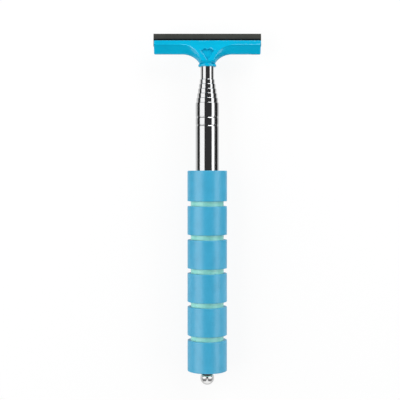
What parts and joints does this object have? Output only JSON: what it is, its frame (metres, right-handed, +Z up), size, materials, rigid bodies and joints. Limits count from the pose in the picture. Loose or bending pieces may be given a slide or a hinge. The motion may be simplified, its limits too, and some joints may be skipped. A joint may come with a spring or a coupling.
{
  "type": "window cleaning squeegee",
  "caption": "Small T-shaped window squeegee on a telescoping chromed pole, with a grooved foam grip and a ball end drilled for a cord.",
  "frame": {"origin": "on the table, under the middle of the whole length, with the pole pushed in", "axes": "+Y along the pole from the ball to the wiping edge, +X along the wiping edge, +Z up, the side of the head with the heart recess"},
  "size_m": [0.0946, 0.31, 0.035],
  "materials": {
    "head_plastic": "satin",
    "rubber": "matte",
    "tube_chrome": "polished",
    "ball_chrome": "polished",
    "sleeve_brass": "satin",
    "foam_blue": "matte",
    "foam_mint": "matte",
    "plug_plastic": "satin"
  },
  "bodies": {
    "grip": {"handle_tube": "tube_chrome", "foam_core": "foam_mint", "foam_segment_1": "foam_blue", "foam_segment_2": "foam_blue", "foam_segment_3": "foam_blue", "foam_segment_4": "foam_blue", "foam_segment_5": "foam_blue", "foam_segment_6": "foam_blue", "end_plug": "plug_plastic", "end_ball": "ball_chrome"},
    "section_2": {"tube_2": "tube_chrome", "friction_sleeve_2": "sleeve_brass"},
    "section_3": {"tube_3": "tube_chrome", "friction_sleeve_3": "sleeve_brass"},
    "section_4": {"tube_4": "tube_chrome", "friction_sleeve_4": "sleeve_brass"},
    "section_5": {"tube_5": "tube_chrome", "friction_sleeve_5": "sleeve_brass"},
    "section_6": {"tube_6": "tube_chrome", "friction_sleeve_6": "sleeve_brass"},
    "sleeve_7": {"friction_sleeve_7": "sleeve_brass"},
    "head": {"tube_7": "tube_chrome", "squeegee_head": "head_plastic", "rubber_blade": "rubber"}
  },
  "joints": [
    {"name": "slide_2", "type": "slide", "parent": "grip", "child": "section_2", "axis": [0, 1, 0], "range_m": [0, 0.112]},
    {"name": "slide_3", "type": "slide", "parent": "section_2", "child": "section_3", "axis": [0, 1, 0], "range_m": [0, 0.112]},
    {"name": "slide_4", "type": "slide", "parent": "section_3", "child": "section_4", "axis": [0, 1, 0], "range_m": [0, 0.112]},
    {"name": "slide_5", "type": "slide", "parent": "section_4", "child": "section_5", "axis": [0, 1, 0], "range_m": [0, 0.112]},
    {"name": "slide_6", "type": "slide", "parent": "section_5", "child": "section_6", "axis": [0, 1, 0], "range_m": [0, 0.112]},
    {"name": "slide_7", "type": "slide", "parent": "section_6", "child": "sleeve_7", "axis": [0, 1, 0], "range_m": [0, 0.112]},
    {"name": "head_turn", "type": "hinge", "parent": "sleeve_7", "child": "head", "pos_m": [0, 0, 0.0175], "axis": [0, 1, 0], "continuous": true}
  ]
}
